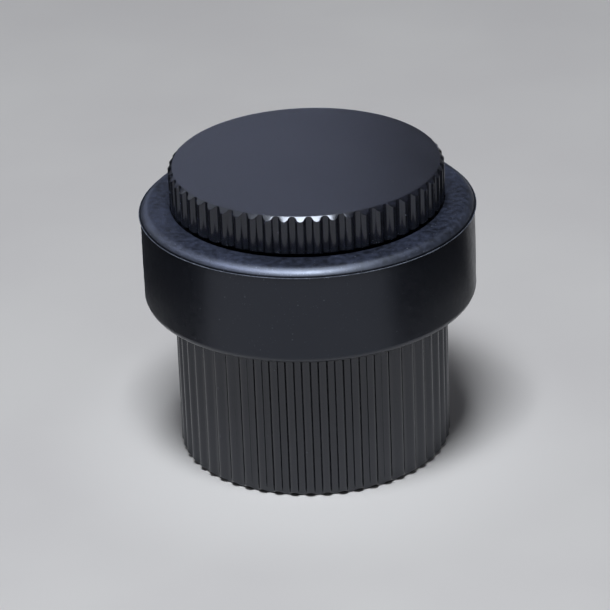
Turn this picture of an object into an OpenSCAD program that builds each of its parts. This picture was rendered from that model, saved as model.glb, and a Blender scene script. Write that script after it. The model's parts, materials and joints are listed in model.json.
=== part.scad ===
// Floor door stop: a reeded base, a rubber buffer ring on a neck, and a reeded screw-on cap.
// The origin is on the floor, on the axis. +Z points up from the floor. Millimetres.
// The cap unscrews to reach the one wood screw that holds the base to the floor.

/* [Body] */
// Diameter over the rib crests of the base and the cap
crest_d = 36; // [34:1:44]
// Height of the base, from the floor to the ring's seat
base_h = 21.2; // [20:0.1:26]
// Height of the cap
cap_h = 5.2; // [5:0.1:8]
// Bevel round the cap's top edge
top_bevel = 0.7; // [0.3:0.1:1]
// Bevel round the base's lower edge
foot_bevel = 0.7; // [0.2:0.05:0.7]
// Bevel round the cap's lower edge
rim_bevel = 0.3; // [0.1:0.05:0.5]

/* [Ribs] */
// Number of upright ribs round the base
base_ribs = 52; // [40:1:56]
// Number of upright ribs round the cap
cap_ribs = 53; // [40:1:56]
// Height of a rib above the valley beside it
rib_h = 0.54; // [0.3:0.01:0.6]
// Radius of a rib's round crest
rib_r = 0.62; // [0.62:0.01:0.9]

/* [Buffer ring] */
// Diameter of the ring's wall
ring_d = 43.8; // [43:0.1:50]
// Height of the ring
ring_h = 13.35; // [12:0.05:18]
// How far the thin moulding lip stands out of the wall
lip_out = 0.2; // [0.1:0.05:0.25]
// Width of the rounded shoulder between the ring's flat top and its lip
shoulder_w = 1.5; // [1.2:0.1:2]
// Height of the rounded shoulder
shoulder_h = 1; // [0.8:0.1:1.2]
// Radius of the ring's bottom edge
ring_foot_r = 1.15; // [0.8:0.05:1.5]

/* [Neck and cap thread] */
// Outer diameter of the sleeve that the ring turns on
neck_d = 24; // [23:0.5:25]
// Diameter of the sleeve's spigot in the base
spigot_d = 20; // [18:0.5:20]
// Depth of the spigot in the base
spigot_depth = 7.7; // [6:0.1:8]
// Major diameter of the stud's thread
thread_d = 12; // [12:0.5:13]
// Pitch of the stud's thread
thread_pitch = 1.5; // [1.25:0.25:1.75]
// Length of the stud's thread
thread_l = 11.9; // [10:0.1:13]
// Depth of the stud's plain end in the cap
stud_depth = 3.3; // [2.5:0.1:3.5]
// Thickness of the slip washer under the cap
slip_t = 0.8; // [0.5:0.1:1]
// Diameter of the slip washer
slip_d = 32; // [28:0.5:32]

/* [Floor fixing] */
// Diameter of the hole for the screw
screw_hole_d = 5.5; // [5.2:0.1:6]
// Major diameter of the wood screw
screw_d = 5; // [4.5:0.1:5]
// Length of the wood screw under its head
screw_l = 50; // [40:1:60]
// Diameter of the wood screw's head
screw_head_d = 9.4; // [8.5:0.1:9.8]
// Diameter of the wall plug
plug_d = 8; // [7:0.5:9]
// Length of the wall plug
plug_l = 40; // [30:1:50]
// Diameter of the locating pin's free end
pin_d = 3; // [2.5:0.5:3.5]
// Distance of the locating pin from the axis
pin_offset = 11; // [10:0.5:11.5]
// How far the locating pin stands out under the base
pin_out = 6; // [4:0.5:10]
// Thickness of the pad under the base
pad_t = 1; // [0.6:0.1:1.5]
// Diameter of the pad under the base
pad_d = 30; // [28:0.5:31]

/* [Hidden] */
$fn = 72;

cut = 0.5;           // how far a cutter runs past the face it cuts
run_gap = 0.1;       // radial gap of the ring round the neck
seat_bevel = 0.1;    // bevel round the base's top edge, under the ring
seat_gap = 0.05;     // axial gap of the ring over its seat, and again under the slip washer
slip_gap = 0.15;     // height of the slip washer below the cap's lower face
snug_gap = 0.05;     // radial gap of the slip washer on the stud's neck
loose_gap = 0.1;     // radial gap round a flat part that lies in a recess

crest_r = crest_d / 2;
valley_r = crest_r - rib_h;
facing = -89.8;      // a valley between two ribs faces this way on the base and on the cap

ring_z = base_h + seat_gap;
ring_top = ring_z + ring_h;
neck_top = ring_top + seat_gap;
cap_z = neck_top + slip_gap;
slip_top = neck_top + slip_t;
stud_top = slip_top + stud_depth;
thread_z = neck_top - thread_l;

washer_d = 14;
washer_t = 1.5;
web_top = 6;                        // top of the web that the screw clamps
head_z = web_top + washer_t;        // underside of the screw's head
pin_seat_d = pin_d + 1;             // diameter of the pin's thicker end, pressed in the base
pin_top = 6;
socket_z = base_h - spigot_depth - 0.3;

thread_steps = 36;                  // straight steps in one turn of a thread
thread_gap = 0.05;                  // how far each thread stays off its nominal radius
thread_side_gap = 0.08;             // axial gap on each flank of the thread
thread_depth = 0.5413 * thread_pitch;   // 60 degree metric thread: depth, crest and flank
thread_crest = thread_pitch / 8;
thread_flank = thread_pitch * 5 / 16;
tap_depth = thread_l + 1;

// A ring-shaped blank with a bevel round its top edge and its bottom edge.
module bevelled_blank(r, h, top, bottom) {
    rotate_extrude()
        polygon([
            [0, 0], [r - bottom, 0], [r, bottom],
            [r, h - top], [r - top, h], [0, h]
        ]);
}

// The reeded outline: round-crested ribs on a circle, with narrow flat valleys between them.
module reeded_outline(ribs) {
    circle(r = valley_r, $fn = 180);
    for (i = [0 : ribs - 1])
        rotate(facing + (i + 0.5) * 360 / ribs)
            translate([crest_r - rib_r, 0])
                circle(r = rib_r, $fn = 24);
}

// A reeded drum of height h, bevelled at both ends.
module reeded_drum(ribs, h, top, bottom) {
    intersection() {
        linear_extrude(h) reeded_outline(ribs);
        bevelled_blank(crest_r, h, top, bottom);
    }
}

// Points of an arc about [x, y], from angle a to angle b.
function arc(x, y, r, a, b, steps) = [
    for (i = [0 : steps]) [
        x + r * cos(a + (b - a) * i / steps),
        y + r * sin(a + (b - a) * i / steps)
    ]
];

// A right-hand threaded rod as one closed solid, from below z = 0 to above z = l.
// Each turn of the thread has four rows of points: the crest's two edges, then the root's.
// taper is the length over which the rod shrinks to a point at its lower end, or 0.
module threaded_rod(major_r, root_r, pitch, crest, flank, l, taper = 0) {
    turns = ceil(l / pitch) + 2;
    rows = 4 * turns;
    start = taper > 0 ? 0 : -pitch;
    tip_share = 0.02;    // the share of its radius that the rod keeps at its point
    corner_z = [0, crest, crest + flank, pitch - flank];
    function shrink(z) = taper > 0 ? max(tip_share, min(1, z / taper)) : 1;
    function row_r(row) = row % 4 < 2 ? major_r : root_r;
    function row_z(row) = start + pitch * floor(row / 4) + corner_z[row % 4];
    points = [
        for (row = [0 : rows - 1], step = [0 : thread_steps - 1])
            let (
                z = row_z(row) + pitch * step / thread_steps,
                r = row_r(row) * shrink(z),
                a = 360 * step / thread_steps
            )
            [r * cos(a), r * sin(a), z]
    ];
    function at(row, step) = row * thread_steps + step;
    // The step after the last one in a turn is the first one, a pitch higher.
    function next(row, step) = step < thread_steps - 1 ? at(row, step + 1) : at(row + 4, 0);
    lower = len(points);
    upper = lower + 1;
    sides = [
        for (row = [0 : rows - 6], step = [0 : thread_steps - 1])
            for (half = [0, 1])
                half == 0
                    ? [at(row, step), at(row + 1, step), next(row, step)]
                    : [next(row, step), at(row + 1, step), next(row + 1, step)]
    ];
    last = rows - 5;
    caps = concat(
        [for (step = [0 : thread_steps - 1]) [at(0, step), next(0, step), lower]],
        [for (row = [0 : 3]) [at(row + 1, 0), at(row, 0), lower]],
        [for (step = [0 : thread_steps - 1]) [next(last, step), at(last, step), upper]],
        [for (row = [last : last + 3]) [at(row, 0), at(row + 1, 0), upper]]
    );
    polyhedron(
        points = concat(
            points,
            [[0, 0, start - (taper > 0 ? 0.5 : 0)], [0, 0, row_z(last) + pitch / 2]]
        ),
        faces = concat(sides, caps),
        convexity = 6
    );
}

// Reeded base: a recess for the pad below, and a stepped hole for the screw and the sleeve.
module base() {
    color([0.05, 0.05, 0.06])
    difference() {
        reeded_drum(base_ribs, base_h, seat_bevel, foot_bevel);
        translate([0, 0, -cut]) cylinder(d = pad_d, h = pad_t + cut);
        translate([0, 0, -cut]) cylinder(d = screw_hole_d, h = base_h);
        translate([0, 0, web_top]) cylinder(d = washer_d, h = base_h);
        translate([0, 0, socket_z]) cylinder(d = spigot_d, h = base_h);
        translate([pin_offset, 0, -cut]) cylinder(d = pin_seat_d, h = pin_top + cut);
    }
}

// Rubber pad that lies flush in the recess under the base.
module foot_pad() {
    color([0.1, 0.1, 0.1])
    difference() {
        cylinder(d = pad_d - 2 * loose_gap, h = pad_t);
        translate([0, 0, -cut]) cylinder(d = screw_hole_d, h = pad_t + 2 * cut);
        translate([pin_offset, 0, -cut])
            cylinder(d = pin_seat_d + 2 * loose_gap, h = pad_t + 2 * cut);
    }
}

// Shouldered steel pin: its thicker end is pressed in the base, its free end goes in the floor.
module locating_pin() {
    tip = 0.4;
    color("silver")
    translate([pin_offset, 0, 0])
        union() {
            translate([0, 0, -pin_out]) bevelled_blank(pin_d / 2, pin_out + cut, 0, tip);
            bevelled_blank(pin_seat_d / 2, pin_top, tip, 0);
        }
}

// Nylon plug: a plain collar at the floor's surface, then barbs, split from its lower end.
module wall_plug() {
    collar_l = 10;
    barb_l = 2.5;
    barb_in = 0.45;
    barb_r = plug_d / 2 - 0.05;
    bore_r = 2;
    barb_edge = 0.3;     // the step from one barb's crest down to the next barb's root
    slot_w = 1.2;
    slot_start = 4;      // plain barbed length between the collar and the slots
    barbs = floor((plug_l - collar_l) / barb_l);
    color([0.55, 0.56, 0.58])
    difference() {
        rotate_extrude()
            polygon(concat(
                [[bore_r, -plug_l], [bore_r, 0], [plug_d / 2, 0], [plug_d / 2, -collar_l]],
                [
                    for (i = [0 : barbs - 1], side = [0, 1])
                        side == 0
                            ? [barb_r - barb_in, -collar_l - i * barb_l]
                            : [barb_r, -collar_l - (i + 1) * barb_l + barb_edge]
                ],
                [[barb_r - barb_in, -plug_l]]
            ));
        for (turn = [0, 90])
            rotate(turn)
                translate([-plug_d, -slot_w / 2, -plug_l - cut])
                    cube([2 * plug_d, slot_w, plug_l - collar_l - slot_start]);
    }
}

// Wood screw with a pan head, a cross recess and a tapered helical thread.
module floor_screw() {
    shank_r = 1.75;
    root_r = 1.6;
    pitch = 2.5;
    crest = 0.25;
    flank = 0.7;
    tip_l = 8;           // length of the tapered tip
    thread_end = -8;     // the thread stops here, below the floor's surface
    recess_w = 0.9;
    recess_l = 4.6;
    recess_depth = 2;
    head_edge = 1;       // height of the head's straight edge
    head_round = 2;
    head_top = head_z + head_edge + head_round;
    overlap = 1;         // how far the shank runs into the thread and into the head
    tip_z = head_z - screw_l;
    color("silver")
    difference() {
        union() {
            translate([0, 0, tip_z])
                intersection() {
                    threaded_rod(
                        screw_d / 2, root_r, pitch, crest, flank, thread_end - tip_z, taper = tip_l
                    );
                    translate([0, 0, -cut]) cylinder(r = screw_d, h = thread_end - tip_z + cut);
                }
            translate([0, 0, thread_end - overlap])
                cylinder(r = shank_r, h = head_z - thread_end + 2 * overlap);
            translate([0, 0, head_z])
                rotate_extrude()
                    polygon(concat(
                        [[0, 0], [screw_head_d / 2, 0]],
                        arc(screw_head_d / 2 - head_round, head_edge, head_round, 0, 90, 5),
                        [[0, head_edge + head_round]]
                    ));
        }
        for (turn = [0, 90])
            rotate(turn)
                translate([-recess_l / 2, -recess_w / 2, head_top - recess_depth])
                    cube([recess_l, recess_w, recess_depth + cut]);
    }
}

// Steel washer at the bottom of the base's counterbore.
module screw_washer() {
    color("silver")
    translate([0, 0, web_top])
        difference() {
            cylinder(d = washer_d - 2 * loose_gap, h = washer_t);
            translate([0, 0, -cut]) cylinder(d = screw_hole_d, h = washer_t + 2 * cut);
        }
}

// Steel sleeve: a spigot pressed in the base, a shoulder on it, and a tapped upper bore.
module neck_sleeve() {
    bore_d = 10.5;
    mouth = 0.4;         // bevel at the mouth of the tapped bore
    tap_r = thread_d / 2 + thread_gap;
    color("gray")
    difference() {
        union() {
            translate([0, 0, base_h - spigot_depth]) cylinder(d = spigot_d, h = spigot_depth + cut);
            translate([0, 0, base_h]) cylinder(d = neck_d, h = neck_top - base_h);
        }
        translate([0, 0, socket_z - cut]) cylinder(d = bore_d, h = neck_top);
        translate([0, 0, neck_top - mouth])
            cylinder(r1 = tap_r - mouth, r2 = tap_r + cut, h = mouth + cut);
        translate([0, 0, neck_top - tap_depth])
            intersection() {
                translate([0, 0, -thread_side_gap])
                    threaded_rod(
                        tap_r,
                        tap_r - thread_depth,
                        thread_pitch,
                        thread_crest + 2 * thread_side_gap,
                        thread_flank,
                        tap_depth
                    );
                cylinder(d = thread_d + 2, h = tap_depth + cut);
            }
    }
}

// Rubber buffer ring, free to turn on the sleeve. A thin moulding lip runs round its top edge.
module buffer_ring() {
    wall_r = ring_d / 2;
    lip_r = wall_r + lip_out;
    lip_t = 0.25;
    lip_top = ring_h - shoulder_h;
    bore_r = neck_d / 2 + run_gap;
    // The shoulder is an arc that is level where it meets the flat top.
    shoulder_turn = 2 * atan(shoulder_h / shoulder_w);
    shoulder_r = shoulder_w / sin(shoulder_turn);
    color([0.06, 0.06, 0.06])
    translate([0, 0, ring_z])
        rotate_extrude($fn = 120)
            polygon(concat(
                [[bore_r, ring_h], [bore_r, 0]],
                arc(wall_r - ring_foot_r, ring_foot_r, ring_foot_r, -90, 0, 5),
                [[wall_r, lip_top - lip_t], [lip_r, lip_top - lip_t], [lip_r, lip_top]],
                arc(
                    wall_r - shoulder_w, ring_h - shoulder_r, shoulder_r,
                    90 - shoulder_turn, 90, 5
                )
            ));
}

// Nylon washer: the cap clamps it on the sleeve's end, clear of the ring below it.
module slip_washer() {
    color([0.85, 0.85, 0.82])
    translate([0, 0, neck_top])
        difference() {
            cylinder(d = slip_d, h = slip_t);
            translate([0, 0, -cut]) cylinder(r = thread_d / 2 + snug_gap, h = slip_t + 2 * cut);
        }
}

// Stud: a plain end fixed in the cap, then a helical thread, with a hex socket in its lower end.
module cap_stud() {
    hex_d = 6.9;
    hex_depth = 5;
    neck_z = neck_top + seat_gap;
    thread_r = thread_d / 2 - thread_gap;
    end_bevel = 0.9;
    overlap = 0.3;       // how far the thread's core runs up into the plain end
    color("silver")
    difference() {
        union() {
            translate([0, 0, neck_z]) cylinder(d = thread_d, h = stud_top - neck_z);
            translate([0, 0, thread_z])
                intersection() {
                    translate([0, 0, neck_top - tap_depth - thread_z])
                        threaded_rod(
                            thread_r,
                            thread_r - thread_depth,
                            thread_pitch,
                            thread_crest,
                            thread_flank,
                            tap_depth
                        );
                    bevelled_blank(
                        thread_d / 2 + cut, neck_z - thread_z + overlap, 0, end_bevel + cut
                    );
                }
        }
        translate([0, 0, thread_z - cut]) cylinder(d = hex_d, h = hex_depth + cut, $fn = 6);
    }
}

// Reeded cap: a recess below for the slip washer, and a blind hole for the stud.
module cap() {
    color([0.07, 0.07, 0.08])
    translate([0, 0, cap_z])
        difference() {
            reeded_drum(cap_ribs, cap_h, top_bevel, rim_bevel);
            translate([0, 0, -cut])
                cylinder(d = slip_d + 2 * loose_gap, h = slip_top - cap_z + cut);
            cylinder(d = thread_d, h = stud_top - cap_z);
        }
}

base();
foot_pad();
locating_pin();
wall_plug();
floor_screw();
screw_washer();
neck_sleeve();
buffer_ring();
slip_washer();
cap_stud();
cap();
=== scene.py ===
"""The looks of a reeded floor door stop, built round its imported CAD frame.

Lengths are in metres, +Z is up, and the origin is on the floor."""
import json
import math

import bmesh
import bpy
from mathutils import Matrix, Vector, noise


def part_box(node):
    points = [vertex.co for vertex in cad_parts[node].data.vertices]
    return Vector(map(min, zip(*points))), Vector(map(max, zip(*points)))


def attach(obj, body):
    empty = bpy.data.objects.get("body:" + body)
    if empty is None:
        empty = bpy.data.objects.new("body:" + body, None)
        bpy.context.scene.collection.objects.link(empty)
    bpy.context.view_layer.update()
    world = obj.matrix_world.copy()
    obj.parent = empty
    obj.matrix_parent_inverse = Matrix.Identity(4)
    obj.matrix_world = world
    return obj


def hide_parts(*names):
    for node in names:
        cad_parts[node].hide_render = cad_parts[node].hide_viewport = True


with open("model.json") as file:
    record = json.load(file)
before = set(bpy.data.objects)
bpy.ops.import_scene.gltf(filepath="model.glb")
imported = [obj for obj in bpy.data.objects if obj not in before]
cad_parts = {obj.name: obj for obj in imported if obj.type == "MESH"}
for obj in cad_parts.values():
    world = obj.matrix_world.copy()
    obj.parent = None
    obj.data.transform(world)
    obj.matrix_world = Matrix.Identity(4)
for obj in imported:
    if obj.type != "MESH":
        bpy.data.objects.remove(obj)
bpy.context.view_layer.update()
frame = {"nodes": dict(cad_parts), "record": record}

MM = 0.001

# ---------------------------------------------------------------- the CAD frame
BODIES = frame["record"]["behaviour"]["bodies"]
NODE_BODY = {node: body for body, nodes in BODIES.items() for node in nodes}
base_low, base_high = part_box("base")
cap_low, cap_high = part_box("cap")
ring_low, ring_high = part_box("buffer_ring")
neck_low, neck_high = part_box("neck_sleeve")
pad_low, pad_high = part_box("foot_pad")
pin_low, pin_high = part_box("locating_pin")
washer_low, washer_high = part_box("screw_washer")
slip_low, slip_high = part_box("slip_washer")
stud_low, stud_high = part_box("cap_stud")

# ---------------------------------------------------------------- sizes
BASE_RIBS = 52
CAP_RIBS = 53
RIB_DEPTH = 0.54 * MM              # from a rib's crest to the valley
RIB_BEAD = 0.64 * MM               # radius of a rib's round crest
RIB_FILLET = 0.44 * MM             # radius of the hollow between two ribs
VALLEY_FACES = math.radians(-89.8)  # a valley between two ribs faces this way
CREST = cap_high.y                 # radius over the ribs' crests
VALLEY = CREST - RIB_DEPTH
TOP_BEVEL = 0.58 * MM              # width of the bevel round the cap's top
RIM_BEVEL = 0.30 * MM              # width of the bevel round the cap's lower edge
FOOT_BEVEL = 0.70 * MM             # width of the bevel round the base's lower edge
EDGE_BREAK = 0.05 * MM             # width of the smallest bevel on a machined edge

NECK = neck_high.x                 # radius of the sleeve over the base
SPIGOT = 10 * MM                   # radius of the sleeve's lower end, which is in the base
SLEEVE_BORE = 5.25 * MM            # radius of the bore below the sleeve's thread
SCREW_HOLE = 2.75 * MM             # radius
PIN_RADIUS = (pin_high.x - pin_low.x) / 2
PIN_OFFSET = (pin_low.x + pin_high.x) / 2  # from the stop's axis to the pin's
DRILL_PAST = 1 * MM                # how far a drill runs past a face
LOOSE_GAP = 0.10 * MM              # round a flat part that lies in a recess
STUD_GAP = 0.05 * MM               # round the stud in the slip washer
SEAT_GAP = ring_low.z - base_high.z  # height of the gap under the ring

RING_GAP = 0.1 * MM                # between the ring's bore and the sleeve
RING_FOOT = 1.15 * MM              # radius of the ring's round lower edge
RING_BULGE = 0.07 * MM             # how far the middle of the ring's wall bulges
SHOULDER_WIDTH = 1.5 * MM          # the ring's rounded shoulder, from its wall to its flat top
SHOULDER_HEIGHT = 1.0 * MM
LIP_OUT = 0.22 * MM                # how far the thin lip at the shoulder's foot stands out
LIP_TOP = ring_high.z - SHOULDER_HEIGHT  # height of the lip over the floor
WELL_DEPTH = 0.50 * MM             # depth of the shallow well in the ring's top, under the cap
WELL_RADIUS = CREST - 0.05 * MM
FLAT_TOP = 19.4 * MM               # radius of a circle of points on the ring's flat top

THREAD_PITCH = 1.5 * MM
THREAD_DEPTH = 0.5413 * THREAD_PITCH
THREAD_CREST = THREAD_PITCH / 8    # width of a thread's flat crest
THREAD_FLANK = THREAD_PITCH * 5 / 16  # width of one flank, along the axis
THREAD_GAP = 0.05 * MM             # how far each thread stays off its nominal radius
THREAD_SIDE = 0.08 * MM            # axial gap on each flank of the thread
TAP_DEPTH = 12.9 * MM              # depth of the thread in the sleeve
HEX_CORNER = 3.45 * MM             # from the axis to a corner of the stud's hex socket
HEX_DEPTH = 5 * MM

RING_STEPS = 360                   # columns of points round a turned piece
WASHER_STEPS = 120
THREAD_STEPS = 96
PIN_STEPS = 48


# ---------------------------------------------------------------- meshes
def arc(x, y, radius, start, end, steps):
    """Points along an arc about (x, y), angles in radians."""
    turns = [start + (end - start) * i / steps for i in range(steps + 1)]
    return [(x + radius * math.cos(t), y + radius * math.sin(t)) for t in turns]


def rounded(outline, radius, steps=3, closed=False):
    """A (radius, height) outline with each corner replaced by a small arc of that size."""
    count = len(outline)
    result = []
    for i, corner in enumerate(outline):
        if not closed and i in (0, count - 1):
            result.append(tuple(corner))
            continue
        here = Vector(corner)
        to_last = Vector(outline[i - 1]) - here
        to_next = Vector(outline[(i + 1) % count]) - here
        reach = min(radius, to_last.length * 0.4, to_next.length * 0.4)
        a = here + to_last.normalized() * reach
        b = here + to_next.normalized() * reach
        for step in range(steps + 1):
            t = step / steps
            point = a * (1 - t) ** 2 + here * 2 * t * (1 - t) + b * t ** 2
            result.append((point.x, point.y))
    return result


def loft(sections, angles, closed, thread=None):
    """A solid from one (radius, height) outline at each angle. A point at radius 0 is a pole on the axis.

    thread is (first point, last point, points in a turn) of an outline that climbs by one turn all round.
    """
    bm = bmesh.new()
    columns = []
    for section, angle in zip(sections, angles):
        column = []
        for k, (r, z) in enumerate(section):
            if r <= 0 and columns:
                column.append(columns[0][k])
            else:
                column.append(bm.verts.new((r * math.cos(angle), r * math.sin(angle), z)))
        columns.append(column)
    steps = len(sections[0]) - (0 if closed else 1)
    for j, column in enumerate(columns):
        other = columns[(j + 1) % len(columns)]
        if thread and j == len(columns) - 1:
            first, last, per_turn = thread
            other = [other[min(k + per_turn, last) if first <= k <= last else k] for k in range(len(other))]
        for k in range(steps):
            n = (k + 1) % len(column)
            corners = [column[k], other[k], other[n], column[n]]
            unique = [v for i, v in enumerate(corners) if v not in corners[:i]]
            bm.faces.new(unique)
    if thread:
        bmesh.ops.remove_doubles(bm, verts=bm.verts, dist=0.0002 * MM)
    bmesh.ops.recalc_face_normals(bm, faces=bm.faces)
    return bm


def lathe(outline, steps, closed=True, change=None):
    """A turned solid. change(angle, radius, height) may move a point of the outline."""
    angles = [2 * math.pi * j / steps for j in range(steps)]
    if change is None:
        return loft([outline] * steps, angles, closed)
    return loft([[change(a, r, z) for r, z in outline] for a in angles], angles, closed)


def drilled(bm, x, radius, low, high):
    """The same solid with an upright round hole in it at (x, 0)."""
    cutter = bmesh.new()
    bmesh.ops.create_cone(
        cutter, cap_ends=True, segments=PIN_STEPS, radius1=radius, radius2=radius, depth=high - low,
        matrix=Matrix.Translation((x, 0, (low + high) / 2))
    )
    made = []
    for label, source in (("solid", bm), ("cutter", cutter)):
        mesh = bpy.data.meshes.new("drilling_" + label)
        source.to_mesh(mesh)
        source.free()
        made.append(bpy.data.objects.new("drilling_" + label, mesh))
        bpy.context.scene.collection.objects.link(made[-1])
    solid, tool = made
    cut = solid.modifiers.new("hole", "BOOLEAN")
    cut.operation, cut.object, cut.solver = "DIFFERENCE", tool, "EXACT"
    result = bmesh.new()
    result.from_object(solid, bpy.context.evaluated_depsgraph_get())
    for thing in made:
        mesh = thing.data
        bpy.data.objects.remove(thing)
        bpy.data.meshes.remove(mesh)
    return result


def finish_mesh(name, bm, node, material, sharp_deg=32, machined=True):
    """Makes the piece that stands for a CAD node. A machined face that is level stays truly flat."""
    for face in bm.faces:
        face.smooth = True
    for edge in bm.edges:
        level = [abs(face.normal.z) > 0.99999 for face in edge.link_faces]
        bend = edge.calc_face_angle(0)
        edge.smooth = bend < math.radians(sharp_deg) and not (machined and level[0] != level[1])
    mesh = bpy.data.meshes.new(name)
    bm.to_mesh(mesh)
    bm.free()
    piece = bpy.data.objects.new(name, mesh)
    bpy.context.scene.collection.objects.link(piece)
    mesh.materials.append(material)
    normals = piece.modifiers.new("weighted_normals", "WEIGHTED_NORMAL")
    normals.keep_sharp = True
    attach(piece, NODE_BODY[node])
    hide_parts(node)
    return piece


# ---------------------------------------------------------------- reeded metal
def rib_half(ribs):
    """(angle, radius) points from the middle of a rib's crest to the middle of the next valley."""
    centre = CREST - RIB_BEAD
    corner = VALLEY + RIB_FILLET
    across = (corner ** 2 + centre ** 2 - (RIB_BEAD + RIB_FILLET) ** 2) / (2 * centre * corner)
    turn = math.acos(across)
    x, y = corner * math.cos(turn), corner * math.sin(turn)
    lean = math.atan2(y, x - centre)
    bead = arc(centre, 0, RIB_BEAD, 0, lean, 10)
    fillet = arc(x, y, RIB_FILLET, lean + math.pi, turn + math.pi, 8)[1:]
    points = [(math.atan2(py, px), math.hypot(px, py)) for px, py in bead + fillet]
    half_pitch = math.pi / ribs
    points.append(((points[-1][0] + half_pitch) / 2, VALLEY))
    points.append((half_pitch, VALLEY))
    return points


def rib_columns(ribs):
    """(angle, radius) points all the way round the reeded outline."""
    half = rib_half(ribs)
    one = [(-a, r) for a, r in reversed(half[1:-1])] + half
    pitch = 2 * math.pi / ribs
    start = VALLEY_FACES + pitch / 2
    return [(start + i * pitch + a, r) for i in range(ribs) for a, r in one]


def reeded(ribs, section):
    """A reeded solid. section(radius) gives the outline of a column, and whether the outline is closed."""
    columns = rib_columns(ribs)
    sections = [section(r) for _, r in columns]
    return loft([s for s, _ in sections], [a for a, _ in columns], sections[0][1])


def cap_section(r):
    """Cap: bevelled top edge, a recess below for the slip washer, and a blind hole for the stud."""
    top, low = cap_high.z, cap_low.z
    flat = CREST - TOP_BEVEL
    foot = max(EDGE_BREAK, r - (CREST - RIM_BEVEL))
    recess = slip_high.x + LOOSE_GAP
    hole = stud_high.x
    outer = rounded([
        (flat * 0.5, top), (flat, top), (r, top - (r - flat)),
        (r, low + foot), (r - foot, low), (recess + 0.4 * MM, low)
    ], 0.04 * MM)
    inner = rounded([
        (recess + 0.3 * MM, low), (recess, low), (recess, slip_high.z),
        (hole, slip_high.z), (hole, stud_high.z), (hole * 0.5, stud_high.z)
    ], 0.05 * MM, steps=2)
    return [(0, top)] + outer + inner + [(0, stud_high.z)], False


def base_section(r):
    """Base: a recess below for the pad, and a stepped hole for the washer and the sleeve."""
    top, low = base_high.z, base_low.z
    foot = max(EDGE_BREAK, r - (CREST - FOOT_BEVEL))
    recess = pad_high.x + LOOSE_GAP
    counterbore = washer_high.x + LOOSE_GAP
    outline = [
        (SCREW_HOLE, pad_high.z), (recess, pad_high.z), (recess, low),
        (r - foot, low), (r, low + foot), (r, top - EDGE_BREAK), (r - EDGE_BREAK, top),
        (SPIGOT, top), (SPIGOT, neck_low.z), (counterbore, neck_low.z),
        (counterbore, washer_low.z), (SCREW_HOLE, washer_low.z)
    ]
    return rounded(outline, 0.06 * MM, steps=2, closed=True), True


# ---------------------------------------------------------------- threads and turned parts
def thread_profile(major, crest, flank, pitch, depth):
    """(height, radius) points of one turn of a thread, with its corners eased."""
    minor = major - depth
    ease = crest / 4
    return [
        (0, major - ease), (ease, major), (crest - ease, major), (crest, major - ease),
        (crest + flank - ease, minor + ease), (crest + flank + ease, minor),
        (pitch - flank - ease, minor), (pitch - flank + ease, minor + ease)
    ]


def thread_points(profile, pitch, origin, share, low, high, low_r, high_r):
    """(radius, height) points of a thread at one angle. It runs out to low_r and high_r at its two ends."""
    first = math.floor((low - origin) / pitch) - 1
    turns = math.ceil((high - low) / pitch) + 3
    points = []
    for turn in range(first, first + turns):
        for height, r in profile:
            z = origin + pitch * (turn + share) + height
            if z <= low:
                points.append((low_r, low))
            elif z >= high:
                points.append((high_r, high))
            else:
                points.append((r, z))
    return points


def threaded(before, after, steps, closed, profile, pitch, origin, *ends):
    """A solid whose outline is before(angle), then a thread, then after."""
    sections, angles = [], [2 * math.pi * j / steps for j in range(steps)]
    for angle in angles:
        helix = thread_points(profile, pitch, origin, angle / (2 * math.pi), *ends)
        sections.append(before(angle) + helix + after)
    first = len(before(0))
    return loft(sections, angles, closed, (first, first + len(helix) - 1, len(profile)))


def hexagon(angle, corner_r):
    """Radius of a hexagon at this angle."""
    side = math.pi / 3
    return corner_r * math.cos(side / 2) / math.cos(angle % side - side / 2)


def stud_mesh():
    """Stud: a plain end in the cap, a thread below it, and a hex socket in its lower end."""
    low, top = stud_low.z, stud_high.z
    neck_z = neck_high.z + SEAT_GAP
    plain_r = stud_high.x
    major = plain_r - THREAD_GAP
    socket_z = low + HEX_DEPTH
    ease = 0.2 * MM

    def socket(angle):
        r = hexagon(angle, HEX_CORNER)
        return [(0, socket_z), (r * 0.9, socket_z), (r, socket_z - ease), (r, low + ease), (r + ease, low)]

    plain = [(plain_r, neck_z + 0.05 * MM), (plain_r, top - ease), (plain_r - ease, top), (0, top)]
    profile = thread_profile(major, THREAD_CREST, THREAD_FLANK, THREAD_PITCH, THREAD_DEPTH)
    return threaded(
        socket, plain, THREAD_STEPS, False, profile, THREAD_PITCH, neck_high.z - TAP_DEPTH,
        low, neck_z, major - THREAD_DEPTH - 0.1 * MM, major
    )


def sleeve_mesh():
    """Sleeve: a spigot in the base, a shoulder on it, and a tapped bore."""
    low, top = neck_low.z, neck_high.z
    major = stud_high.x + THREAD_GAP
    bore = SLEEVE_BORE
    mouth = 0.3 * MM
    outside = rounded([
        (major, top), (NECK, top), (NECK, base_high.z), (SPIGOT, base_high.z), (SPIGOT, low), (bore, low)
    ], 0.15 * MM) + [(bore, low + 0.1 * MM)]
    profile = thread_profile(major, THREAD_CREST + 2 * THREAD_SIDE, THREAD_FLANK, THREAD_PITCH, THREAD_DEPTH)
    return threaded(
        lambda angle: [], outside, THREAD_STEPS, True, profile, THREAD_PITCH, top - TAP_DEPTH - THREAD_SIDE,
        top - TAP_DEPTH, top - mouth, bore, major - mouth
    )


def flat_ring(low, high, inner, edge):
    """A flat round part with a hole, such as a washer. low and high are the corners of its box."""
    outer = high.x
    outline = [(inner, low.z), (outer, low.z), (outer, high.z), (inner, high.z)]
    return lathe(rounded(outline, edge, closed=True), WASHER_STEPS)


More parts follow.
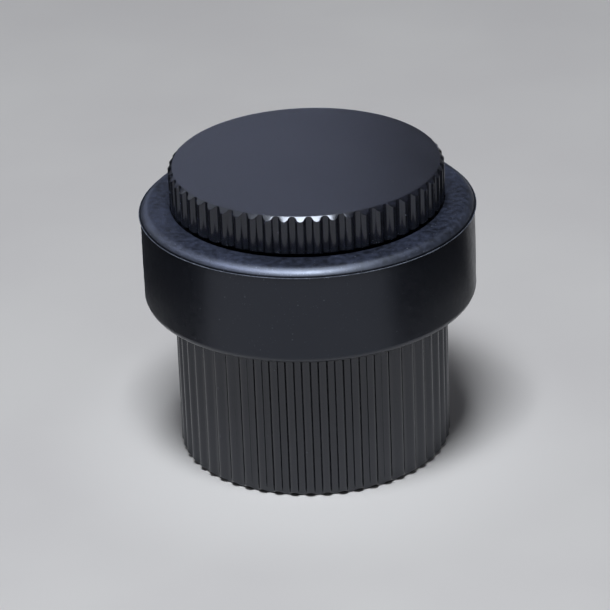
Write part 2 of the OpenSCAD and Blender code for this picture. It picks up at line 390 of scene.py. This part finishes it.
def pin_mesh():
    """Shouldered pin: its thicker end is in the base, its free end stands out below."""
    thick = PIN_RADIUS
    thin = thick - 0.5 * MM
    ease = 0.4 * MM
    outline = [
        (0, pin_low.z), (thin - ease, pin_low.z), (thin, pin_low.z + ease), (thin, 0), (thick - 0.05 * MM, 0),
        (thick, 0.05 * MM), (thick, pin_high.z - ease), (thick - ease, pin_high.z), (0, pin_high.z)
    ]
    bm = lathe(outline, PIN_STEPS, closed=False)
    bmesh.ops.translate(bm, verts=bm.verts, vec=(PIN_OFFSET, 0, 0))
    return bm


# ---------------------------------------------------------------- rubber
def ring_outline():
    """Buffer ring: a bulging wall, a thin lip with a groove over it, a round shoulder, a well in the top."""
    low, top = ring_low.z, ring_high.z
    lip = ring_high.x
    wall = lip - LIP_OUT
    bore = NECK + RING_GAP
    foot_in = wall - RING_FOOT
    side_low, side_high = low + RING_FOOT, LIP_TOP - 0.22 * MM
    turn = 2 * math.atan(SHOULDER_HEIGHT / SHOULDER_WIDTH)
    shoulder_r = SHOULDER_WIDTH / math.sin(turn)
    well_floor = top - WELL_DEPTH
    underside = [
        (bore, well_floor - 0.3 * MM), (bore, low + 0.3 * MM), (bore + 0.3 * MM, low),
        (foot_in - 1.0 * MM, low), (foot_in - 0.02 * MM, low), (foot_in + 0.08 * MM, low - 0.02 * MM)
    ]
    foot = arc(foot_in, low + RING_FOOT, RING_FOOT, math.radians(-78), math.radians(-4), 10)
    side = []
    for i in range(1, 10):
        out = RING_BULGE * (math.sin(math.pi * i / 10) - 0.5)
        side.append((wall + out, side_low + (side_high - side_low) * i / 10))
    lip_and_groove = [
        (wall - RING_BULGE * 0.5, side_high), (wall + 0.05 * MM, side_high + 0.06 * MM),
        (lip - 0.03 * MM, side_high + 0.12 * MM), (lip, side_high + 0.16 * MM),
        (lip - 0.02 * MM, LIP_TOP), (lip - 0.06 * MM, LIP_TOP),
        (wall + 0.05 * MM, LIP_TOP - 0.10 * MM), (wall, LIP_TOP - 0.09 * MM)
    ]
    shoulder = arc(
        wall - SHOULDER_WIDTH, top - shoulder_r, shoulder_r, math.pi / 2 - turn, math.pi / 2, 16
    )
    well = [
        (FLAT_TOP, top), (WELL_RADIUS + 0.10 * MM, top), (WELL_RADIUS + 0.03 * MM, top - 0.03 * MM),
        (WELL_RADIUS, top - 0.10 * MM), (WELL_RADIUS, well_floor + 0.1 * MM),
        (WELL_RADIUS - 0.1 * MM, well_floor), (bore + 1 * MM, well_floor), (bore + 0.3 * MM, well_floor)
    ]
    return underside + foot + side + lip_and_groove + shoulder + well


def uneven(angle, r, z):
    """Moulded rubber is never quite true: the outside wanders by a few hundredths of a millimetre."""
    outside = max(0.0, min(1.0, (r - NECK - 2 * MM) / (6 * MM)))
    place = Vector((math.cos(angle) * 2.2, math.sin(angle) * 2.2, z / MM * 0.12))
    wave = noise.noise(place) * 0.030 * MM
    fine = noise.noise(place * 7) * 0.008 * MM
    return r + (wave + fine - 0.03 * MM) * outside, z


# ---------------------------------------------------------------- materials
DUST = (0.42, 0.44, 0.50, 1)
# pale specks on the coating: dust, and painted glints near the lower edge
METAL_DUST_AND_GLINT = (0.38, 0.40, 0.45, 1)
# a paler band along the lip's outer edge
LIP_PALE = (0.30, 0.33, 0.40, 1)
# painted shade: the black that the groove over the lip and the well under the cap are darkened towards
PAINTED_SHADE_BLACK = (0.0012, 0.0013, 0.0018, 1)
COLD_GLOSS = (0.90, 0.93, 1.0, 1)
RUBBER_GLOSS = (0.79, 0.85, 1.0, 1)


def shade(colour, factor=1.0):
    """This (red, green, blue) colour, lighter or darker, with its alpha."""
    return (*[c * factor for c in colour], 1)


class Shader:
    """A node material. node() adds a node: sockets are linked, other values are set as defaults."""

    def __init__(self, name):
        self.material = bpy.data.materials.new(name)
        self.material.use_nodes = True
        self.tree = self.material.node_tree
        self.tree.nodes.clear()
        self.place = self.node("TexCoord").outputs["Object"]
        self.x, self.y, self.height = self.node("SeparateXYZ", Vector=self.place).outputs

    def node(self, kind, settings=None, **inputs):
        node = self.tree.nodes.new("ShaderNode" + kind)
        for key, value in (settings or {}).items():
            setattr(node, key, value)
        for key, value in inputs.items():
            self.put(value, node.inputs[key.replace("_", " ")])
        return node

    def put(self, value, socket):
        if isinstance(value, bpy.types.NodeSocket):
            self.tree.links.new(value, socket)
        else:
            socket.default_value = value

    def noise(self, scale, detail, stretch=(1, 1, 1)):
        """A noise texture between 0 and 1. scale is in cycles per millimetre."""
        mapping = self.node("Mapping", Vector=self.place, Scale=[s / MM for s in stretch])
        return self.node("TexNoise", Vector=mapping.outputs[0], Scale=scale, Detail=detail).outputs[0]

    def math(self, operation, a, b=0.0):
        node = self.node("Math", {"operation": operation})
        self.put(a, node.inputs[0])
        self.put(b, node.inputs[1])
        return node.outputs[0]

    def times(self, first, *others):
        for other in others:
            first = self.math("MULTIPLY", first, other)
        return first

    def plus(self, first, *others):
        for other in others:
            first = self.math("ADD", first, other)
        return first

    def radius(self):
        """The distance from the stop's axis."""
        return self.math("SQRT", self.plus(self.times(self.x, self.x), self.times(self.y, self.y)))

    def ramp(self, value, low, high, to_low, to_high):
        """A smooth step from to_low, where value is low, to to_high, where it is high."""
        node = self.node(
            "MapRange", {"interpolation_type": "SMOOTHSTEP"}, Value=value,
            From_Min=low, From_Max=high, To_Min=to_low, To_Max=to_high
        )
        return node.outputs[0]

    def mix(self, share, a, b):
        """Colour a where share is 0, colour b where it is 1."""
        node = self.node("Mix", {"data_type": "RGBA"})
        self.put(share, node.inputs[0])
        self.put(a, node.inputs[6])
        self.put(b, node.inputs[7])
        return node.outputs[2]

    def specks(self, per_mm, size, rarity):
        """A mask of tiny scattered dots, for dust and painted glints."""
        mapping = self.node("Mapping", Vector=self.place, Scale=(1 / MM,) * 3)
        cells = self.node("TexVoronoi", Vector=mapping.outputs[0], Scale=per_mm)
        dot = self.ramp(cells.outputs["Distance"], size, size * 0.4, 0.0, 1.0)
        colour = self.node("SeparateColor", Color=cells.outputs["Color"])
        chosen = self.math("GREATER_THAN", colour.outputs[0], rarity)
        return self.times(dot, chosen)

    def bump(self, height, depth_mm, strength):
        return self.node("Bump", Height=height, Distance=depth_mm * MM, Strength=strength).outputs[0]

    def surface(self, **inputs):
        bsdf = self.node("BsdfPrincipled", **inputs)
        self.node("OutputMaterial", Surface=bsdf.outputs[0])
        return self.material


def coated_metal(name, tint, rough, gloss, seam):
    """Black coating on turned metal: fine grain, an uneven sheen, and pale specks: dust all over, and more
    near height seam, where they are dust and painted glints.
    """
    s = Shader(name)
    grain = s.noise(7.0, 2.0)
    cloud = s.noise(0.12, 4.0)
    fine = s.noise(1.4, 3.0)
    near_seam = s.ramp(s.math("ABSOLUTE", s.math("SUBTRACT", s.height, seam)), 0.0, 0.9 * MM, 1.0, 0.0)
    dust = s.times(s.specks(0.8, 0.09, 0.92), 0.30)
    # Pale specks near the lower edge: dust, and painted glints where the ribs' lower edges catch light.
    seam_dust_and_glints = s.times(s.specks(2.8, 0.26, 0.70), near_seam, 0.45)
    body = s.mix(s.ramp(cloud, 0.3, 0.7, 0.0, 1.0), shade(tint, 0.85), shade(tint, 1.15))
    sheen = s.ramp(cloud, 0.25, 0.75, rough - 0.03, rough + 0.03)
    return s.surface(
        Base_Color=s.mix(s.math("MAXIMUM", dust, seam_dust_and_glints), body, METAL_DUST_AND_GLINT),
        Roughness=s.plus(sheen, s.ramp(fine, 0.3, 0.7, -0.02, 0.02)),
        Normal=s.bump(grain, 0.0012, 0.5), Specular_IOR_Level=gloss, Specular_Tint=COLD_GLOSS
    )


def lip_masks(s):
    """Where the ring is near its lip, on the lip's outer edge, and in the groove above the lip."""
    from_lip = s.math("ABSOLUTE", s.math("SUBTRACT", s.height, LIP_TOP))
    near = s.ramp(from_lip, 0.0, 0.5 * MM, 1.0, 0.0)
    edge = s.ramp(s.radius(), ring_high.x - 0.12 * MM, ring_high.x - 0.06 * MM, 0.0, 1.0)
    on = s.times(edge, near)
    groove = s.times(s.ramp(from_lip, 0.10 * MM, 0.22 * MM, 1.0, 0.0), s.math("SUBTRACT", 1.0, on))
    return near, on, groove


def rubber_colour(s, up, mottle, grain, outside, tint, bloom_tint):
    """Black rubber with a mottled bloom where it faces up."""
    cloud = s.noise(0.22, 5.0)
    settled = s.ramp(up, 0.15, 0.95, 0.0, 1.0)
    patchy = s.plus(s.ramp(cloud, 0.3, 0.7, 0.24, 0.66), s.ramp(mottle, 0.32, 0.68, -0.22, 0.30))
    patchy = s.times(patchy, s.ramp(grain, 0.3, 0.7, 0.75, 1.25))
    bloomed = s.times(settled, patchy, s.ramp(outside, 0, 1, 0.15, 1.0))
    return s.mix(bloomed, shade(tint), shade(bloom_tint))


def rubber_dust(s, up, near_lip):
    """Specks of dust, more of them where the rubber faces up and near its lip."""
    coarse = s.times(s.specks(1.2, 0.16, 0.90), s.ramp(up, 0.0, 0.8, 0.10, 0.30))
    fine = s.times(s.specks(3.0, 0.26, 0.80), s.ramp(up, 0.0, 0.8, 0.05, 0.16))
    seam = s.times(s.specks(2.6, 0.3, 0.55), near_lip, 0.4)
    return s.math("MAXIMUM", s.math("MAXIMUM", coarse, fine), seam)


def moulded_rubber(name, tint, bloom_tint, rough):
    """The ring's rubber: bloom, a shinier shoulder, a paler lip edge, dust, and painted shade in the groove
    and the well.
    """
    s = Shader(name)
    mottle = s.noise(1.3, 6.0)
    grain = s.noise(6.0, 4.0)
    up = s.node("SeparateXYZ", Vector=s.node("NewGeometry").outputs["Normal"]).outputs[2]
    near_lip, on_lip, groove = lip_masks(s)
    outside = s.ramp(s.radius(), WELL_RADIUS, WELL_RADIUS + 0.04 * MM, 0.0, 1.0)
    # Painted shade: the colour goes part way to black, and the gloss drops, in the groove over the lip and in
    # the well under the cap.
    unshaded_share = s.times(s.math("SUBTRACT", 1.0, s.times(groove, 0.66)), s.ramp(outside, 0, 1, 0.55, 1.0))
    shoulder = s.times(s.ramp(up, 0.15, 0.4, 0.0, 1.0), s.ramp(up, 0.88, 0.99, 1.0, 0.0))
    colour = rubber_colour(s, up, mottle, grain, outside, tint, bloom_tint)
    # A mottled paler band along the lip's outer edge.
    colour = s.mix(s.times(on_lip, s.ramp(mottle, 0.3, 0.7, 0.22, 0.62)), colour, LIP_PALE)
    colour = s.mix(rubber_dust(s, up, near_lip), colour, DUST)
    # painted shade in the groove and the well
    colour = s.mix(unshaded_share, PAINTED_SHADE_BLACK, colour)
    roughness = s.plus(
        s.ramp(mottle, 0.3, 0.7, rough - 0.04, rough + 0.04), s.times(near_lip, 0.15),
        s.times(shoulder, 0.07), s.ramp(up, 0.9, 1.0, 0.0, 0.18)
    )
    gloss = s.plus(s.times(shoulder, 0.44), s.ramp(up, 0.9, 1.0, 0.68, 0.32))
    return s.surface(
        Base_Color=colour, Roughness=roughness, Normal=s.bump(grain, 0.006, 0.5),
        Specular_IOR_Level=s.times(gloss, unshaded_share), Specular_Tint=RUBBER_GLOSS
    )


def plain_rubber(name, tint, rough):
    """Dull rubber with a fine grain."""
    s = Shader(name)
    grain = s.noise(3.0, 4.0)
    cloud = s.noise(0.3, 3.0)
    colour = s.mix(s.ramp(cloud, 0.3, 0.7, 0, 1), shade(tint, 0.8), shade(tint))
    return s.surface(
        Base_Color=colour, Roughness=rough, Normal=s.bump(grain, 0.01, 0.5), Specular_IOR_Level=0.4
    )


def turned_steel(name, tint, rough):
    """Bright steel with turning marks round its axis."""
    s = Shader(name)
    marks = s.noise(6.0, 2.0, stretch=(0.05, 0.05, 1.0))
    cloud = s.noise(0.3, 3.0)
    colour = s.mix(s.ramp(cloud, 0.3, 0.7, 0, 1), shade(tint, 0.85), shade(tint))
    roughness = s.ramp(marks, 0.3, 0.7, rough - 0.06, rough + 0.08)
    normal = s.bump(marks, 0.003, 0.5)
    return s.surface(Base_Color=colour, Metallic=1.0, Roughness=roughness, Normal=normal)


def nylon(name, tint, rough):
    """Milky nylon with a faint moulded grain."""
    s = Shader(name)
    grain = s.noise(4.0, 3.0)
    cloud = s.noise(0.4, 2.0)
    colour = s.mix(s.ramp(cloud, 0.3, 0.7, 0, 1), shade(tint, 0.92), shade(tint))
    normal = s.bump(grain, 0.008, 0.4)
    return s.surface(
        Base_Color=colour, Roughness=s.ramp(grain, 0.3, 0.7, rough - 0.05, rough + 0.05), Normal=normal,
        Subsurface_Weight=0.15, Subsurface_Scale=0.001
    )


# ---------------------------------------------------------------- the pieces
cap_metal = coated_metal("cap_coating", (0.0065, 0.007, 0.011), 0.20, 0.64, cap_low.z)
base_metal = coated_metal("base_coating", (0.008, 0.008, 0.011), 0.19, 0.80, base_low.z)
rubber = moulded_rubber("ring_rubber", (0.0026, 0.0030, 0.0055), (0.034, 0.040, 0.066), 0.34)
pad_rubber = plain_rubber("pad_rubber", (0.022, 0.022, 0.023), 0.6)
steel = turned_steel("zinc_steel", (0.62, 0.62, 0.63), 0.3)
sleeve_steel = turned_steel("sleeve_steel", (0.42, 0.42, 0.43), 0.33)
washer_nylon = nylon("washer_nylon", (0.75, 0.74, 0.70), 0.45)
plug_nylon = nylon("plug_nylon", (0.32, 0.33, 0.35), 0.5)

cap = finish_mesh("reeded_cap", reeded(CAP_RIBS, cap_section), "cap", cap_metal)
base_blank = reeded(BASE_RIBS, base_section)
base_mesh = drilled(base_blank, PIN_OFFSET, PIN_RADIUS, pad_high.z - DRILL_PAST, pin_high.z)
finish_mesh("reeded_base", base_mesh, "base", base_metal)
ring_mesh = lathe(ring_outline(), RING_STEPS, change=uneven)
ring = finish_mesh("rubber_ring", ring_mesh, "buffer_ring", rubber, 40, machined=False)
finish_mesh("threaded_stud", stud_mesh(), "cap_stud", steel)
finish_mesh("tapped_sleeve", sleeve_mesh(), "neck_sleeve", sleeve_steel)
finish_mesh("pressed_pin", pin_mesh(), "locating_pin", steel)
slip_mesh = flat_ring(slip_low, slip_high, stud_high.x + STUD_GAP, 0.1 * MM)
finish_mesh("nylon_washer", slip_mesh, "slip_washer", washer_nylon)
washer_mesh = flat_ring(washer_low, washer_high, SCREW_HOLE, 0.15 * MM)
finish_mesh("steel_washer", washer_mesh, "screw_washer", steel)
pad_blank = flat_ring(pad_low, pad_high, SCREW_HOLE, 0.1 * MM)
pad_hole = PIN_RADIUS + LOOSE_GAP
pad_mesh = drilled(pad_blank, PIN_OFFSET, pad_hole, pad_low.z - DRILL_PAST, pad_high.z + DRILL_PAST)
finish_mesh("rubber_pad", pad_mesh, "foot_pad", pad_rubber)

for node, material in {"wall_plug": plug_nylon, "floor_screw": steel}.items():
    mesh = frame["nodes"][node].data
    mesh.materials.clear()
    mesh.materials.append(material)

# ---------------------------------------------------------------- floor
FLOOR_HALF = 1.5
FLOOR_DROP = 0.01 * MM             # keeps the floor off the stop's underside


def pale_floor():
    """A plain pale floor, with a painted pool of light close to the stop."""
    corners = [(-1, -1), (1, -1), (1, 1), (-1, 1)]
    mesh = bpy.data.meshes.new("floor")
    mesh.from_pydata([(x * FLOOR_HALF, y * FLOOR_HALF, -FLOOR_DROP) for x, y in corners], [], [(0, 1, 2, 3)])
    floor = bpy.data.objects.new("floor", mesh)
    bpy.context.scene.collection.objects.link(floor)
    s = Shader("pale_floor")
    cloud = s.ramp(s.noise(0.02, 3.0), 0.3, 0.7, 0, 1)
    far = s.mix(cloud, (0.63, 0.593, 0.565, 1), (0.67, 0.635, 0.60, 1))
    # Painted pool of light: the floor's colour is paler within a few centimetres of the stop.
    colour = s.mix(s.ramp(s.radius(), 19 * MM, 40 * MM, 1, 0), far, (0.75, 0.713, 0.676, 1))
    mesh.materials.append(s.surface(Base_Color=colour, Roughness=0.8, Specular_IOR_Level=0.1))


pale_floor()

# ---------------------------------------------------------------- lights
DAYLIGHT = (0.86, 0.92, 1.0)
SKYLIGHT = (0.66, 0.73, 1.0)
RIM_LIGHT = (0.74, 0.80, 1.0)
WORLD_LIGHT = (0.08, 0.084, 0.095, 1)
LIGHT_DISTANCE = 0.6
AIM = Vector((0, 0, 0.02))
CARD_HEIGHT = 1 * MM
CARD_FAR = 0.90
CARD_STEPS = 24


def soft_light(
    name, azimuth_deg, elevation_deg, width, height, radiance, seen_in, only=None, colour=DAYLIGHT
):
    """A rectangular soft light aimed at the middle of the stop. Azimuth -90 is the camera's side.

    seen_in is "shade" for a light that reflections do not show, or "gloss" for one that only they show.
    only is the one piece that it lights.
    """
    a, e = math.radians(azimuth_deg), math.radians(elevation_deg)
    direction = Vector((math.cos(a) * math.cos(e), math.sin(a) * math.cos(e), math.sin(e)))
    data = bpy.data.lights.new(name, "AREA")
    data.shape = "RECTANGLE"
    data.size, data.size_y = width, height
    data.energy = radiance * math.pi * width * height
    data.color = colour
    light = bpy.data.objects.new(name, data)
    light.rotation_mode = "QUATERNION"
    light.location = AIM + direction * LIGHT_DISTANCE
    light.rotation_quaternion = direction.to_track_quat("Z", "Y")
    light.visible_camera = False
    light.visible_diffuse = seen_in != "gloss"
    light.visible_glossy = seen_in != "shade"
    if only is not None:
        lit = bpy.data.collections.new(name + "_lights")
        lit.objects.link(only)
        light.light_linking.receiver_collection = lit
    bpy.context.scene.collection.objects.link(light)


def dark_card(name, start_deg, end_deg, near):
    """A black card lying round part of the stop, seen only in its reflections, to give its sides an edge."""
    bm = bmesh.new()
    pairs = []
    for i in range(CARD_STEPS + 1):
        t = math.radians(start_deg + (end_deg - start_deg) * i / CARD_STEPS)
        x, y = math.cos(t), math.sin(t)
        pairs.append([bm.verts.new((r * x, r * y, CARD_HEIGHT)) for r in (near, CARD_FAR)])
    for one, two in zip(pairs, pairs[1:]):
        bm.faces.new((one[0], one[1], two[1], two[0]))
    mesh = bpy.data.meshes.new(name)
    bm.to_mesh(mesh)
    bm.free()
    card = bpy.data.objects.new(name, mesh)
    bpy.context.scene.collection.objects.link(card)
    mesh.materials.append(Shader(name).surface(Base_Color=(0.01, 0.01, 0.012, 1), Roughness=0.9))
    card.visible_camera = False
    card.visible_diffuse = False
    card.visible_shadow = False


soft_light("key_light", -101, 71, 0.20, 0.16, 35.0, "shade")
soft_light("gloss_strip", -94, 62, 0.29, 0.26, 22.5, "gloss")
soft_light("overhead", -90, 92, 0.45, 0.32, 2.8, "gloss")
soft_light("back_light", 113, 27, 0.5, 0.34, 0.48, "gloss", colour=SKYLIGHT)
soft_light("cap_left_glow", 172, 42, 0.6, 0.5, 0.85, "gloss", cap)
soft_light("cap_front_left", -140, 58, 0.16, 0.18, 1.5, "gloss", cap)
soft_light("ring_left_high", -152, 57, 0.30, 0.15, 10.2, "gloss", ring, RIM_LIGHT)
soft_light("ring_left_middle", 168, 38, 0.26, 0.13, 2.5, "gloss", ring, RIM_LIGHT)
soft_light("ring_left_low", 140, 20, 0.24, 0.10, 1.1, "gloss", ring)
dark_card("left_card", 95, 204, 0.052)
dark_card("right_card", -42, 38, 0.055)

world = bpy.data.worlds.new("studio")
bpy.context.scene.world = world
world.use_nodes = True
world.node_tree.nodes["Background"].inputs["Color"].default_value = WORLD_LIGHT

# ---------------------------------------------------------------- camera
CAMERA_DISTANCE = 505.5 * MM
AIM_HEIGHT = 9.9 * MM
CAMERA_ELEVATION = math.radians(26.915)
CAMERA_PAN = math.radians(-0.095)
CAMERA_TILT = math.radians(0.941)
CAMERA_ROLL = math.radians(-2.217)
FOCAL_LENGTH = 223.7               # in millimetres, as Blender wants it


def turned(a, b, angle):
    """Two directions at right angles, both turned by an angle from a towards b."""
    return a * math.cos(angle) + b * math.sin(angle), b * math.cos(angle) - a * math.sin(angle)


def photo_camera():
    """A long lens close to the floor, looking down at the stop."""
    ahead, rise = math.cos(CAMERA_ELEVATION), math.sin(CAMERA_ELEVATION)
    forward = Vector((0, ahead, -rise))
    right = Vector((1, 0, 0))
    up = right.cross(forward)
    forward, right = turned(forward, right, CAMERA_PAN)
    forward, up = turned(forward, up, CAMERA_TILT)
    right, up = turned(right, up, CAMERA_ROLL)
    matrix = Matrix((right, up, -forward)).transposed().to_4x4()
    matrix.translation = (0, -CAMERA_DISTANCE * ahead, CAMERA_DISTANCE * rise + AIM_HEIGHT)
    data = bpy.data.cameras.new("camera")
    data.lens = FOCAL_LENGTH
    data.clip_start = 0.01
    data.clip_end = 10
    camera = bpy.data.objects.new("camera", data)
    bpy.context.scene.collection.objects.link(camera)
    camera.matrix_world = matrix
    bpy.context.scene.camera = camera


photo_camera()
bpy.context.scene.view_settings.view_transform = "Standard"
